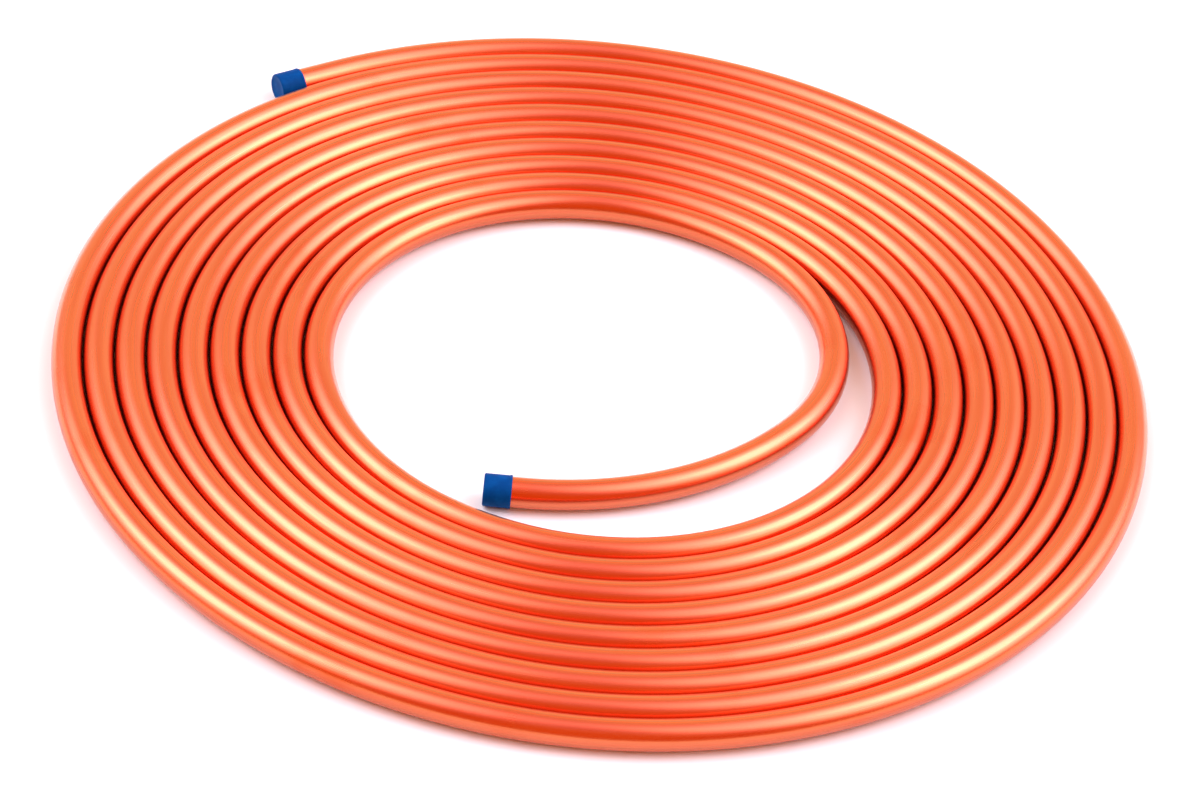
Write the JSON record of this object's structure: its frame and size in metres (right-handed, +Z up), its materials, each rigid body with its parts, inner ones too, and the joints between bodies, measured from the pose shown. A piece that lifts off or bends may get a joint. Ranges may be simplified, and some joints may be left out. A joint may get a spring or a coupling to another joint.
{
  "type": "copper tube coil",
  "caption": "Flat single-layer spiral coil of soft copper tube, its free inner end crossing the eye, with a push-on plastic cap on each tube end.",
  "frame": {"origin": "centre of the coil's outline, on the floor it lies on", "axes": "+Z up, along the coil's axis; +X from the coil's middle to where the free inner end leaves the winding; the tube winds outwards anticlockwise seen from above"},
  "size_m": [0.6946, 0.6976, 0.0208],
  "materials": {
    "copper": "bright drawn copper, semi-gloss",
    "cap_plastic": "satin blue soft plastic"
  },
  "bodies": {
    "root": {"tube": "copper", "outer_end_cap": "cap_plastic", "inner_end_cap": "cap_plastic"}
  },
  "joints": []
}
